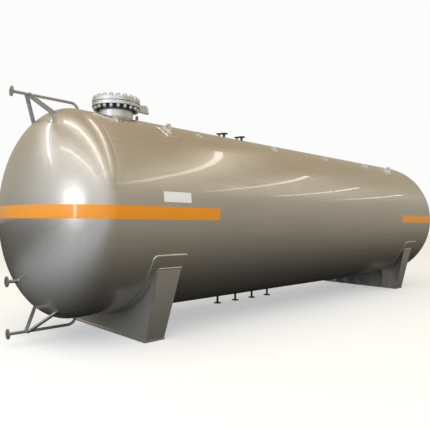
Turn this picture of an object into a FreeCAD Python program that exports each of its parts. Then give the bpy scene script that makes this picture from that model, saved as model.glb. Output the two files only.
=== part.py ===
"""Horizontal pressure tank on two saddles: rolled shell courses, two dished heads, a hinged manhole,
flanged connections, two stayed gauge pipes, lifting lugs and platform cleats.

Frame: +X along the vessel from the near head to the far head, +Z up, millimetres. The origin is the
centre of the fixed saddle's underside. Distances called "from tangent" start at the near tangent line,
where the near head's dish meets its straight skirt.
"""
import FreeCAD
import Part
import Sketcher
import math
import os
from FreeCAD import Placement, Rotation, Vector

SIZES = [
    # vessel
    ("bore_radius", 1500, "inside radius of shell and heads"),
    ("shell_wall", 20, "plate thickness of the shell courses"),
    ("tangent_length", 9655, "from one tangent line to the other"),
    ("head_depth", 745, "inside depth of the dished heads"),
    ("head_wall", 20, "plate thickness of the heads"),
    ("head_skirt", 60, "straight skirt of each head"),
    ("course_end_1", 2570, "first shell seam from tangent"),
    ("course_end_2", 5030, "second shell seam from tangent"),
    ("course_end_3", 7074, "third shell seam from tangent"),
    ("floor_gap", 300, "lowest line of the shell above the floor"),
    # saddles
    ("near_inset", 879, "near tangent line to the middle of the fixed saddle's base"),
    ("far_inset", 855, "far tangent line to the middle of the sliding saddle's base"),
    ("base_length", 2150, "saddle base across the vessel"),
    ("base_width", 350, "saddle base along the vessel"),
    ("base_thickness", 16, "saddle base plate"),
    ("web_setback", 30, "web face in from the outer edge of the base"),
    ("web_thickness", 14, "saddle web plate"),
    ("rib_edge", 15, "foot of a rib in from the inner edge of the base"),
    ("rib_splay", 0.1, "how far the ribs widen for each unit of height"),
    ("rib_thickness", 12, "saddle ribs"),
    ("end_rib_edge", 13, "foot of an end rib in from the end of the base"),
    ("end_rib_tuck", 8, "head of an end rib in from the cradle's corner"),
    ("cradle_wrap", 120, "degrees of shell between the end ribs' heads"),
    ("notch_radius", 24, "drain notch at the web's upper corners"),
    ("wear_width", 590, "wear plate along the vessel"),
    ("wear_offset", 30, "wear plate middle inboard of the base middle"),
    ("wear_lap", 7.75, "degrees of wear plate past each end rib's head"),
    ("wear_thickness", 12, "wear plate"),
    ("wear_corner", 60, "corner radius of the wear plate"),
    ("foot_edge_x", 75, "foundation bolts in from the base's long edges"),
    ("foot_edge_y", 105, "foundation bolts in from the base's ends"),
    ("foot_hole", 28, "foundation bolt hole"),
    ("foot_slot", 60, "length of the sliding saddle's slots"),
    # manhole
    ("manhole_at", 863, "manhole axis from tangent"),
    ("neck_radius", 265, "outside radius of the manhole neck"),
    ("neck_wall", 24, "wall of the manhole neck"),
    ("hub_radius", 288, "hub of the manhole flange"),
    ("hub_height", 50, "taper between hub and neck"),
    ("cover_radius", 377.5, "manhole flange and cover"),
    ("manhole_rise", 231, "manhole flange face above the shell's crown"),
    ("manhole_flange", 57, "thickness of the manhole flange"),
    ("cover_thickness", 60, "thickness of the manhole cover"),
    ("gasket_thickness", 4, "manhole gasket"),
    ("gasket_radius", 305, "outside radius of gasket and raised faces"),
    ("stud_circle", 335, "radius of the manhole stud circle"),
    ("stud_hole", 42, "hole for a manhole stud"),
    ("stud_count", 20, "manhole studs"),
    ("face_height", 3, "raised face on every flange"),
    ("hinge_reach", 161, "hinge pin out from the cover's rim"),
    ("hinge_rise", 30, "hinge pin above the flange face"),
    ("hinge_pin", 30, "hinge pin diameter"),
    ("hinge_eye", 60, "radius of the hinge eyes"),
    ("hinge_tail_reach", 84, "tip of the hinge plates' tail out from the pin"),
    ("hinge_tail_drop", 75, "tip of the tail below the pin"),
    ("strap_thickness", 24, "hinge strap on the cover"),
    ("cheek_thickness", 12, "hinge cheeks on the flange"),
    ("cheek_gap", 3, "side clearance of the strap between the cheeks"),
    ("pin_fit", 0.5, "radial clearance of the pin in the strap"),
    ("rest_reach", 10, "cover rest out from the cover's rim"),
    ("rest_height", 118, "cover rest above the shell's crown"),
    ("rest_width", 70, "cover rest across the vessel"),
    ("rest_thickness", 14, "cover rest plate"),
    # flanged connections on the shell
    ("main_pipe", 24, "outside radius of the main top nozzles"),
    ("main_wall", 5, "their pipe wall"),
    ("main_flange", 75, "their flange radius"),
    ("main_depth", 18, "their flange thickness"),
    ("main_circle", 55, "their bolt circle radius"),
    ("main_hole", 18, "their bolt hole"),
    ("main_face", 44, "their raised face radius"),
    ("vent_pipe", 17, "outside radius of the vent nozzles"),
    ("vent_wall", 4, "their pipe wall"),
    ("vent_flange", 57.5, "their flange radius"),
    ("vent_depth", 18, "their flange thickness"),
    ("vent_circle", 42.5, "their bolt circle radius"),
    ("vent_hole", 14, "their bolt hole"),
    ("vent_face", 34, "their raised face radius"),
    ("drain_pipe", 21, "outside radius of bottom nozzles and gauge pipes"),
    ("drain_wall", 4, "their pipe wall"),
    ("drain_flange", 70, "their flange radius"),
    ("drain_depth", 18, "their flange thickness"),
    ("drain_circle", 50, "their bolt circle radius"),
    ("drain_hole", 18, "their bolt hole"),
    ("drain_face", 39, "their raised face radius"),
    ("top_nozzle_1", 3312, "first main top nozzle from tangent"),
    ("top_nozzle_2", 3822, "second main top nozzle from tangent"),
    ("main_rise", 130, "face of the main top nozzles above the crown"),
    ("vent_setback", 134, "vent nozzle before its main nozzle"),
    ("vent_rise", 105, "face of the vent nozzles above the crown"),
    ("bottom_nozzle_1", 3170, "first bottom nozzle from tangent"),
    ("bottom_pitch", 500, "bottom nozzles, middle to middle"),
    ("bottom_drop", 170, "face of the bottom nozzles below the shell"),
    ("head_nozzle_y", 130, "head nozzle to the side of the axis"),
    ("head_nozzle_drop", 955, "head nozzle below the axis"),
    ("head_nozzle_rise", 168, "face of the head nozzle out from the head"),
    # gauge pipes
    ("gauge_rise", 125, "gauge pipes outside the shell's crown and lowest line"),
    ("gauge_overhang", 15, "face of the gauge flanges beyond the tip of the head"),
    ("gauge_setback", 5, "pipe end inside its flange face"),
    ("gauge_foot", 204, "gauge pipe's foot from tangent"),
    ("gauge_bend", 120, "centre-line radius of the pipe's bend"),
    # stays: the two of a pipe share one joint; a foot lies on the head, beyond the tangent line and to
    # the side of the axis
    ("stay_leg", 50, "leg of the stays' angle section"),
    ("stay_section", 6, "thickness of the stays' angle section"),
    ("upper_joint", 560, "upper stays at their pipe, beyond the tangent line"),
    ("upper_front_foot", 304, "upper front stay's foot beyond the tangent line"),
    ("upper_front_side", 320, "its foot to the side"),
    ("upper_back_foot", 351, "upper back stay's foot beyond the tangent line"),
    ("upper_back_side", 280, "its foot to the side"),
    ("lower_joint", 522, "lower stays at their pipe, beyond the tangent line"),
    ("lower_front_foot", 288, "lower front stay's foot beyond the tangent line"),
    ("lower_front_side", 400, "its foot to the side"),
    ("lower_back_foot", 294, "lower back stay's foot beyond the tangent line"),
    ("lower_back_side", 280, "its foot to the side"),
    # lifting lugs and cleats
    ("near_lug_at", 1252, "near lifting lugs from the near tangent line"),
    ("far_lug_at", 1035, "far lifting lugs from the far tangent line"),
    ("lug_angle", 32.8, "lifting lugs from the crown, degrees"),
    ("lug_foot", 235, "lug width on its pad"),
    ("lug_eye_height", 68, "lug eye above the shell"),
    ("lug_head", 52, "radius round the lug eye"),
    ("lug_eye", 52, "lug eye diameter"),
    ("lug_thickness", 28, "lug plate"),
    ("lug_pad_width", 205, "lug pad along the vessel"),
    ("lug_pad_wrap", 14, "degrees of shell that the lug pad covers"),
    ("lug_pad_thickness", 14, "lug pad"),
    ("lug_pad_corner", 30, "corner radius of the lug pad"),
    ("cleat_1", 385, "first pair of platform cleats from tangent"),
    ("cleat_2", 1974, "second pair"),
    ("cleat_3", 3950, "third pair"),
    ("cleat_4", 5737, "fourth pair"),
    ("cleat_5", 7549, "fifth pair"),
    ("cleat_angle", 30, "platform cleats from the crown, degrees"),
    ("cleat_length", 160, "cleat round the shell"),
    ("cleat_height", 35, "cleat above the shell"),
    ("cleat_thickness", 12, "cleat plate"),
    ("overrun", 60, "how far cutting tools run past what they cut"),
]

doc = FreeCAD.newDocument("pressure_tank")
sheet = doc.addObject("Spreadsheet::Sheet", "Sizes")
for row, (alias, number, meaning) in enumerate(SIZES, start=1):
    sheet.set(f"A{row}", meaning)
    sheet.set(f"B{row}", str(number))
    sheet.setAlias(f"B{row}", alias)
doc.recompute()

NODES = []
SHELL = "(Sizes.bore_radius + Sizes.shell_wall)"
WEAR = "(Sizes.bore_radius + Sizes.shell_wall + Sizes.wear_thickness)"
AXIS = "(Sizes.bore_radius + Sizes.shell_wall + Sizes.floor_gap)"
SPAN = "(Sizes.tangent_length - Sizes.near_inset - Sizes.far_inset)"


def size(alias):
    """The number that the sheet holds for one size."""
    return float(sheet.get(alias))


def along(distance):
    """Expression for a place measured from the near tangent line."""
    return f"{distance} - Sizes.near_inset"


def bind(piece, sizes):
    """Ties properties of a piece to expressions on the sheet."""
    for prop, expression in sizes.items():
        piece.setExpression(prop, expression)


def place(piece, x="0", y="0", z=AXIS, turn=None):
    """Puts a piece at x, y, z with an optional fixed turn."""
    if turn is not None:
        piece.Placement = Placement(Vector(), turn)
    bind(piece, {"Placement.Base.x": x, "Placement.Base.y": y, "Placement.Base.z": z})
    return piece


def node(piece, label):
    """Names a finished sub-part, which becomes one STEP file."""
    piece.Label = label
    NODES.append(piece)
    return piece


def part(kind, name, sizes):
    """A Part primitive with its sizes bound."""
    piece = doc.addObject(f"Part::{kind}", name)
    bind(piece, sizes)
    return piece


def cut(name, base, tool):
    piece = doc.addObject("Part::Cut", name)
    piece.Base = base
    piece.Tool = tool
    return piece


def group(name, pieces):
    piece = doc.addObject("Part::Compound", name)
    piece.Links = pieces
    return piece


def rod(name, radius, length, x, y="0", z=AXIS, turn=None):
    """A plain cylinder from x, y, z along the turned Z axis."""
    return place(part("Cylinder", name, {"Radius": radius, "Height": length}), x, y, z, turn)


ALONG_X = Rotation(Vector(0, 1, 0), 90)
AGAINST_X = Rotation(Vector(0, 1, 0), -90)
UPSIDE_DOWN = Rotation(Vector(1, 0, 0), 180)


START, END, MIDDLE = 1, 2, 3    # a sketch curve's named points


def origin_feature(body, role):
    """One of a body's own origin planes or axes."""
    return next(f for f in body.Origin.OriginFeatures if f.Role == role)


def new_sketch(body, name, plane):
    sketch = body.newObject("Sketcher::SketchObject", name)
    sketch.AttachmentSupport = (origin_feature(body, plane), [""])
    sketch.MapMode = "FlatFace"
    return sketch


def evaluate(expression):
    """The number an expression gives now, for drawing a sketch close to its solved shape."""
    result = sheet.evalExpression(expression)
    return float(getattr(result, "Value", result))


def draw_polygon(sketch, corners):
    """A closed outline whose corners are pairs of expressions."""
    points = [Vector(evaluate(x), evaluate(y), 0) for x, y in corners]
    first = sketch.GeometryCount
    count = len(points)
    for i in range(count):
        sketch.addGeometry(Part.LineSegment(points[i], points[(i + 1) % count]), False)
    for i in range(count):
        sketch.addConstraint(Sketcher.Constraint("Coincident", first + i, END, first + (i + 1) % count, START))
    for i, (x, y) in enumerate(corners):
        hold_point(sketch, first + i, START, x, y)


def hold_point(sketch, geometry, end, x, y):
    """Binds a point of a sketch; a coordinate of nought is held on the sketch's axis instead."""
    for kind, expression, axis in (("DistanceX", x, -2), ("DistanceY", y, -1)):
        if expression == "0":
            sketch.addConstraint(Sketcher.Constraint("PointOnObject", geometry, end, axis))
        elif expression is not None:
            held = sketch.addConstraint(Sketcher.Constraint(kind, -1, 1, geometry, end, evaluate(expression)))
            sketch.setExpression(f"Constraints[{held}]", expression)


def hold_radius(sketch, geometry, radius):
    held = sketch.addConstraint(Sketcher.Constraint("Radius", geometry, evaluate(radius)))
    sketch.setExpression(f"Constraints[{held}]", radius)


def draw_circle(sketch, x, y, radius):
    """A circle with its middle and radius bound."""
    middle = Vector(evaluate(x), evaluate(y), 0)
    index = sketch.addGeometry(Part.Circle(middle, Vector(0, 0, 1), evaluate(radius)), False)
    hold_point(sketch, index, MIDDLE, x, y)
    hold_radius(sketch, index, radius)


def new_body(name):
    return doc.addObject("PartDesign::Body", name)


def padded(name, plane, corners, thickness, midplane=True):
    """A body with one polygon padded to a thickness."""
    body = new_body(name)
    sketch = new_sketch(body, f"{name}_outline", plane)
    draw_polygon(sketch, corners)
    pad = body.newObject("PartDesign::Pad", f"{name}_plate")
    pad.Profile = sketch
    pad.Midplane = midplane
    pad.setExpression("Length", thickness)
    return body


def revolved(name, plane, corners, axis, angle="360", midplane=False):
    """A body with one polygon turned about an axis of its sketch."""
    body = new_body(name)
    sketch = new_sketch(body, f"{name}_profile", plane)
    draw_polygon(sketch, corners)
    turn = body.newObject("PartDesign::Revolution", f"{name}_turned")
    turn.Profile = sketch
    turn.ReferenceAxis = (sketch, [axis])
    turn.Midplane = midplane
    turn.setExpression("Angle", angle)
    return body


def bolt_holes(body, circle, hole, count, depth):
    """Drills a ring of holes through a flange whose face lies on the body's XY plane."""
    sketch = new_sketch(body, f"{body.Name}_hole", "XY_Plane")
    draw_circle(sketch, f"{circle} * cos(180 / {count})", f"{circle} * sin(180 / {count})", f"{hole} / 2")
    drill = body.newObject("PartDesign::Pocket", f"{body.Name}_drilled")
    drill.Profile = sketch
    drill.setExpression("Length", depth)
    ring = body.newObject("PartDesign::PolarPattern", f"{body.Name}_ring")
    ring.Originals = [drill]
    ring.Axis = (origin_feature(body, "Z_Axis"), [""])
    ring.Angle = 360
    ring.setExpression("Occurrences", count)
    body.Tip = ring


# ---- cutting forms that several pieces share ----

inside = rod("Inside_form", "Sizes.bore_radius", "Sizes.tangent_length", along("0"), turn=ALONG_X)
outside = rod("Outside_form", SHELL, "Sizes.tangent_length", along("0"), turn=ALONG_X)
wear_form = rod("Wear_form", WEAR, "Sizes.tangent_length", along("0"), turn=ALONG_X)


def dish(name, grow, x, turn):
    """Half an ellipsoid that stands on a tangent line: the form of a head's inside or outside."""
    form = part("Ellipsoid", name, {
        "Radius1": f"Sizes.head_depth + {grow}",
        "Radius2": f"Sizes.bore_radius + {grow}",
        "Radius3": f"Sizes.bore_radius + {grow}",
    })
    form.Angle1 = 0
    return place(form, x, turn=turn)


NEAR, FAR = along("0"), along("Sizes.tangent_length")
near_outside = dish("Near_dish_outside", "Sizes.head_wall", NEAR, AGAINST_X)
near_inside = dish("Near_dish_inside", "0", NEAR, AGAINST_X)
far_outside = dish("Far_dish_outside", "Sizes.head_wall", FAR, ALONG_X)
far_inside = dish("Far_dish_inside", "0", FAR, ALONG_X)

TOP_NOZZLES = ["Sizes.top_nozzle_1", "Sizes.top_nozzle_2"]
BOTTOM_NOZZLES = [f"(Sizes.bottom_nozzle_1 + {i} * Sizes.bottom_pitch)" for i in range(4)]
CROWN_DRILL = f"{SHELL} + Sizes.overrun"
HEAD_TIP = "(Sizes.head_depth + Sizes.head_wall)"


def drills():
    """Every hole through the shell courses, as one tool."""
    tools = [rod("Manhole_drill", "Sizes.neck_radius", CROWN_DRILL, along("Sizes.manhole_at"))]
    for i, at in enumerate(TOP_NOZZLES, start=1):
        tools.append(rod(f"Top_drill_{i}", "Sizes.main_pipe", CROWN_DRILL, along(at)))
        tools.append(rod(f"Vent_drill_{i}", "Sizes.vent_pipe", CROWN_DRILL,
                         along(f"{at} - Sizes.vent_setback")))
    for i, at in enumerate(BOTTOM_NOZZLES, start=1):
        tools.append(rod(f"Bottom_drill_{i}", "Sizes.drain_pipe", CROWN_DRILL, along(at), turn=UPSIDE_DOWN))
    tools.append(rod("Upper_gauge_drill", "Sizes.drain_pipe", CROWN_DRILL, along("Sizes.gauge_foot")))
    tools.append(rod("Lower_gauge_drill", "Sizes.drain_pipe", CROWN_DRILL, along("Sizes.gauge_foot"),
                     turn=UPSIDE_DOWN))
    return group("Shell_drills", tools)


# ---- shell courses and heads ----

shell_drills = drills()
SEAMS = ["Sizes.head_skirt", "Sizes.course_end_1", "Sizes.course_end_2", "Sizes.course_end_3",
         "(Sizes.tangent_length - Sizes.head_skirt)"]
for number in range(1, 5):
    start, end = SEAMS[number - 1], SEAMS[number]
    ring = cut(f"Course_{number}_ring",
               rod(f"Course_{number}_outside", SHELL, f"{end} - {start}", along(start), turn=ALONG_X),
               inside)
    node(cut(f"Shell_course_{number}", ring, shell_drills), f"shell_course_{number}")


def head(name, outer, inner, skirt_start):
    """A dished head: an ellipsoidal dish with its straight skirt in one pressing."""
    skirt = cut(f"{name}_skirt",
                rod(f"{name}_skirt_outside", SHELL, "Sizes.head_skirt", skirt_start, turn=ALONG_X), inside)
    pressing = doc.addObject("Part::MultiFuse", f"{name}_pressing")
    pressing.Shapes = [cut(f"{name}_dish", outer, inner), skirt]
    return pressing


near_pressing = head("Near_head", near_outside, near_inside, NEAR)
head_nozzle_drill = rod("Head_nozzle_drill", "Sizes.main_pipe", "Sizes.head_depth + 2 * Sizes.overrun",
                        along("0 - Sizes.head_depth - 2 * Sizes.overrun"), "Sizes.head_nozzle_y",
                        f"{AXIS} - Sizes.head_nozzle_drop", ALONG_X)
node(cut("Near_head", near_pressing, head_nozzle_drill), "near_head")
node(head("Far_head", far_outside, far_inside, f"{FAR} - Sizes.head_skirt"), "far_head")


# ---- flanged nozzles ----

def nozzle(name, family, length):
    """A pipe with a raised-face flange: the face lies on XY, the pipe runs down -Z."""
    pipe, wall, flange = f"Sizes.{family}_pipe", f"Sizes.{family}_wall", f"Sizes.{family}_flange"
    depth, face = f"Sizes.{family}_depth", f"Sizes.{family}_face"
    corners = [
        (f"{pipe} - {wall}", "0"), (face, "0"), (face, "-Sizes.face_height"), (flange, "-Sizes.face_height"),
        (flange, f"-{depth}"), (pipe, f"-{depth}"),
        (pipe, f"-({length})"), (f"{pipe} - {wall}", f"-({length})"),
    ]
    body = revolved(name, "XZ_Plane", corners, "V_Axis")
    bolt_holes(body, f"Sizes.{family}_circle", f"Sizes.{family}_hole", "4", depth)
    return body


for number, at in enumerate(TOP_NOZZLES, start=1):
    for family, label, x in (("main", "top_nozzle", at), ("vent", "vent_nozzle", f"{at} - Sizes.vent_setback")):
        rise = f"Sizes.{family}_rise"
        pipe = nozzle(f"{label.capitalize()}_{number}_pipe", family,
                      f"{rise} + Sizes.shell_wall + Sizes.overrun")
        place(pipe, along(x), z=f"{AXIS} + {SHELL} + {rise}")
        node(cut(f"{label.capitalize()}_{number}", pipe, inside), f"{label}_{number}")

for number, at in enumerate(BOTTOM_NOZZLES, start=1):
    pipe = nozzle(f"Bottom_nozzle_{number}_pipe", "drain",
                  "Sizes.bottom_drop + Sizes.shell_wall + Sizes.overrun")
    place(pipe, along(at), z=f"{AXIS} - {SHELL} - Sizes.bottom_drop", turn=UPSIDE_DOWN)
    node(cut(f"Bottom_nozzle_{number}", pipe, inside), f"bottom_nozzle_{number}")

# The head nozzle's face stands off the head's outside, an ellipse in the distance from the axis.
head_radius_there = "(Sizes.head_nozzle_y ^ 2 + Sizes.head_nozzle_drop ^ 2)"
head_face = (f"({HEAD_TIP} * sqrt(1 - {head_radius_there} / {SHELL} ^ 2) + Sizes.head_nozzle_rise)")
head_pipe = nozzle("Head_nozzle_pipe", "main", head_face)
place(head_pipe, along(f"0 - {head_face}"), "Sizes.head_nozzle_y",
      f"{AXIS} - Sizes.head_nozzle_drop", AGAINST_X)
node(cut("Head_nozzle", head_pipe, near_inside), "head_nozzle")


# ---- manhole ----

SEAT = f"({AXIS} + {SHELL} + Sizes.manhole_rise)"


def manhole():
    """Weld-neck flange on its neck, gasket and blind cover, all turned about one upright axis."""
    bore = "Sizes.neck_radius - Sizes.neck_wall"
    neck_foot = "-(Sizes.manhole_rise + Sizes.shell_wall + Sizes.overrun)"
    flange_back = "-Sizes.manhole_flange"
    neck = revolved("Manhole_neck_form", "XZ_Plane", [
        (bore, "0"), ("Sizes.gasket_radius", "0"), ("Sizes.gasket_radius", "-Sizes.face_height"),
        ("Sizes.cover_radius", "-Sizes.face_height"), ("Sizes.cover_radius", flange_back),
        ("Sizes.hub_radius", flange_back), ("Sizes.neck_radius", f"{flange_back} - Sizes.hub_height"),
        ("Sizes.neck_radius", neck_foot), (bore, neck_foot),
    ], "V_Axis")
    bolt_holes(neck, "Sizes.stud_circle", "Sizes.stud_hole", "Sizes.stud_count", "Sizes.manhole_flange")
    place(neck, along("Sizes.manhole_at"), z=SEAT)
    node(cut("Manhole_neck", neck, inside), "manhole_neck")
    gasket = revolved("Manhole_gasket", "XZ_Plane", [
        (bore, "0"), ("Sizes.gasket_radius", "0"),
        ("Sizes.gasket_radius", "Sizes.gasket_thickness"), (bore, "Sizes.gasket_thickness"),
    ], "V_Axis")
    place(gasket, along("Sizes.manhole_at"), z=SEAT)
    node(gasket, "manhole_gasket")
    cover = revolved("Manhole_cover", "XZ_Plane", [
        ("0", "-Sizes.cover_thickness"), ("Sizes.gasket_radius", "-Sizes.cover_thickness"),
        ("Sizes.gasket_radius", "Sizes.face_height - Sizes.cover_thickness"),
        ("Sizes.cover_radius", "Sizes.face_height - Sizes.cover_thickness"),
        ("Sizes.cover_radius", "0"), ("0", "0"),
    ], "V_Axis")
    bolt_holes(cover, "Sizes.stud_circle", "Sizes.stud_hole", "Sizes.stud_count", "Sizes.cover_thickness")
    place(cover, along("Sizes.manhole_at"), z=f"{SEAT} + Sizes.gasket_thickness + Sizes.cover_thickness")
    node(cover, "manhole_cover")


manhole()


def hinge():
    """Strap welded to the cover's rim, two cheeks welded to the flange's rim and the pin through them."""
    rim = "(Sizes.manhole_at + Sizes.cover_radius - Sizes.near_inset)"
    pin_x = f"({rim} + Sizes.hinge_reach)"
    pin_z = f"({SEAT} + Sizes.hinge_rise)"
    cover_rim = rod("Cover_rim_form", "Sizes.cover_radius", "4 * Sizes.cover_thickness",
                    along("Sizes.manhole_at"), z=f"{SEAT} - 2 * Sizes.cover_thickness")
    pin = "(Sizes.hinge_pin / 2)"
    above, below = "Sizes.gasket_thickness - Sizes.hinge_rise", "-Sizes.hinge_rise - Sizes.face_height"
    strap = hinge_plate("Strap", above, f"{above} + Sizes.cover_thickness", "Sizes.strap_thickness",
                        f"{pin} + Sizes.pin_fit")
    place(strap, pin_x, "0", pin_z)
    node(cut("Strap_fitted", strap, cover_rim), "cover_hinge_strap")
    cheeks = []
    for side, sign in (("front", "-"), ("back", "")):
        cheek = hinge_plate(f"Cheek_{side}", f"{below} - Sizes.manhole_flange / 2", below,
                            "Sizes.cheek_thickness", pin)
        place(cheek, pin_x, f"{sign}(Sizes.strap_thickness / 2 + Sizes.cheek_gap + Sizes.cheek_thickness / 2)",
              pin_z)
        cheeks.append(cut(f"Cheek_{side}_fitted", cheek, cover_rim))
    node(group("Hinge_cheeks", cheeks), "hinge_cheeks")
    half = "(Sizes.strap_thickness / 2 + Sizes.cheek_gap + Sizes.cheek_thickness)"
    node(rod("Hinge_pin", pin, f"2 * {half}", pin_x, half, pin_z, Rotation(Vector(1, 0, 0), 90)), "hinge_pin")


def hinge_plate(name, foot_low, foot_high, thickness, hole):
    """Plate from the rim to the pin: a quarter round over the pin and a tail down and outwards."""
    body = new_body(name)
    sketch = new_sketch(body, f"{name}_outline", "XZ_Plane")
    eye = "Sizes.hinge_eye"
    foot = "-Sizes.hinge_reach - Sizes.hinge_eye / 2"    # runs on inside the rim, where it is cut to fit
    corners = [(foot, foot_high), (foot, foot_low), ("Sizes.hinge_tail_reach", "-Sizes.hinge_tail_drop"),
               (eye, "0")]
    points = [Vector(evaluate(x), evaluate(y), 0) for x, y in corners]
    top = Vector(0, evaluate(eye), 0)
    lines = [(points[0], points[1]), (points[1], points[2]), (points[2], points[3]), (top, points[0])]
    for start, end in lines:
        sketch.addGeometry(Part.LineSegment(start, end), False)
    quarter = Part.Circle(Vector(), Vector(0, 0, 1), evaluate(eye))
    sketch.addGeometry(Part.ArcOfCircle(quarter, 0, math.pi / 2), False)
    for first, first_end, second, second_end in ((0, END, 1, START), (1, END, 2, START), (2, END, 4, START),
                                                 (4, END, 3, START), (3, END, 0, START)):
        sketch.addConstraint(Sketcher.Constraint("Coincident", first, first_end, second, second_end))
    hold_point(sketch, 0, START, *corners[0])
    hold_point(sketch, 1, START, *corners[1])
    hold_point(sketch, 2, START, *corners[2])
    hold_point(sketch, 4, MIDDLE, "0", "0")
    hold_radius(sketch, 4, eye)
    sketch.addConstraint(Sketcher.Constraint("PointOnObject", 4, START, -1))
    sketch.addConstraint(Sketcher.Constraint("PointOnObject", 4, END, -2))
    draw_circle(sketch, "0", "0", hole)
    pad = body.newObject("PartDesign::Pad", f"{name}_thick")
    pad.Profile = sketch
    pad.Midplane = True
    pad.setExpression("Length", thickness)
    return body


hinge()
rest = part("Box", "Cover_rest_plate", {
    "Length": "Sizes.rest_thickness", "Width": "Sizes.rest_width",
    "Height": "Sizes.rest_height + Sizes.overrun",
})
place(rest, along("Sizes.manhole_at + Sizes.cover_radius + Sizes.rest_reach"), "-Sizes.rest_width / 2",
      f"{AXIS} + {SHELL} - Sizes.overrun")
node(cut("Cover_rest", rest, outside), "cover_rest")


# ---- saddles ----

RIB_BAYS = 3    # spaces between ribs on each side of a saddle's middle
END_RIB_FOOT = "(Sizes.base_length / 2 - Sizes.end_rib_edge)"
CRADLE_SIDE = f"({WEAR} * sin(Sizes.cradle_wrap / 2))"
CRADLE_HEAD = f"({AXIS} - {WEAR} * cos(Sizes.cradle_wrap / 2))"
END_RIB_SPREAD = f"({CRADLE_SIDE} - Sizes.end_rib_tuck - {END_RIB_FOOT})"
END_RIB_LEAN = f"atan({END_RIB_SPREAD} / ({CRADLE_HEAD} - Sizes.base_thickness))"
RIB_FOOT = "(Sizes.base_width - Sizes.web_setback - Sizes.rib_edge)"


def saddle(end, middle, inward, slotted):
    """Base plate, web, ribs and wear plate; inward is 1 where the vessel's middle lies towards +X."""
    name = f"{end.capitalize()}_saddle"
    outer_edge = f"({middle} - {inward} * Sizes.base_width / 2)"
    web_face = f"({outer_edge} + {inward} * Sizes.web_setback)"
    facing = Rotation() if inward == 1 else Rotation(Vector(0, 0, 1), 180)

    base = padded(f"{name}_base", "XY_Plane", [
        ("-Sizes.base_width / 2", "-Sizes.base_length / 2"), ("Sizes.base_width / 2", "-Sizes.base_length / 2"),
        ("Sizes.base_width / 2", "Sizes.base_length / 2"), ("-Sizes.base_width / 2", "Sizes.base_length / 2"),
    ], "Sizes.base_thickness", midplane=False)
    place(base, middle, z="0")
    holes = foot_holes(name, middle, slotted)
    node(cut(f"{name}_foot", base, holes), f"{end}_saddle_base")

    floor = part("Box", f"{name}_floor_form", {
        "Length": "Sizes.wear_width * 2", "Width": "Sizes.base_length * 2", "Height": AXIS,
    })
    place(floor, f"{middle} - Sizes.wear_width", "-Sizes.base_length", f"Sizes.base_thickness - {AXIS}")

    foot = f"({END_RIB_FOOT} - Sizes.rib_thickness / cos({END_RIB_LEAN}))"
    rise = f"({AXIS} - Sizes.base_thickness)"
    web = padded(f"{name}_web_plate", "YZ_Plane", [
        (f"-{foot}", f"-{rise}"), (foot, f"-{rise}"),
        (f"{foot} + {rise} * tan({END_RIB_LEAN})", "0"), (f"-{foot} - {rise} * tan({END_RIB_LEAN})", "0"),
    ], "Sizes.web_thickness")
    place(web, f"{web_face} + {inward} * Sizes.web_thickness / 2")
    notches = [rod(f"{name}_notch_{side}", "Sizes.notch_radius", "Sizes.base_width",
                   f"{web_face} - Sizes.base_width / 2", f"{sign} * {CRADLE_SIDE}", CRADLE_HEAD, ALONG_X)
               for side, sign in (("front", -1), ("back", 1))]
    open_web = cut(f"{name}_web_cradled", web, wear_form)
    node(cut(f"{name}_web", trim_above(name, open_web, middle), group(f"{name}_notches", notches)),
         f"{end}_saddle_web")

    def rib(rib_name, low, height):
        """Rib outline standing on the base, from the web inwards, widening with its height."""
        return padded(rib_name, "XZ_Plane", [
            ("Sizes.web_thickness", low), (f"{RIB_FOOT} + Sizes.rib_splay * ({low})", low),
            (f"{RIB_FOOT} + Sizes.rib_splay * {height}", height), ("Sizes.web_thickness", height),
        ], "Sizes.rib_thickness")

    inner = []
    for i in range(1 - RIB_BAYS, RIB_BAYS):
        body = rib(f"{name}_inner_rib_{i + RIB_BAYS}", "0", rise)
        place(body, web_face, f"{i} * {END_RIB_FOOT} / {RIB_BAYS}", "Sizes.base_thickness", facing)
        inner.append(body)
    node(cut(f"{name}_inner_ribs", group(f"{name}_inner_rib_blanks", inner), wear_form),
         f"{end}_saddle_inner_ribs")

    outer = []
    for side, sign in (("front", -1), ("back", 1)):
        outer.append(end_rib(name, side, sign, web_face, facing, inward))
    blanks = group(f"{name}_end_rib_blanks", outer)
    footed = cut(f"{name}_end_ribs_footed", blanks, floor)
    cradled = cut(f"{name}_end_ribs_cradled", footed, wear_form)
    node(trim_above(f"{name}_end", cradled, middle), f"{end}_saddle_end_ribs")

    node(wear_plate(name, f"{middle} + {inward} * Sizes.wear_offset"), f"{end}_saddle_wear_plate")


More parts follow.
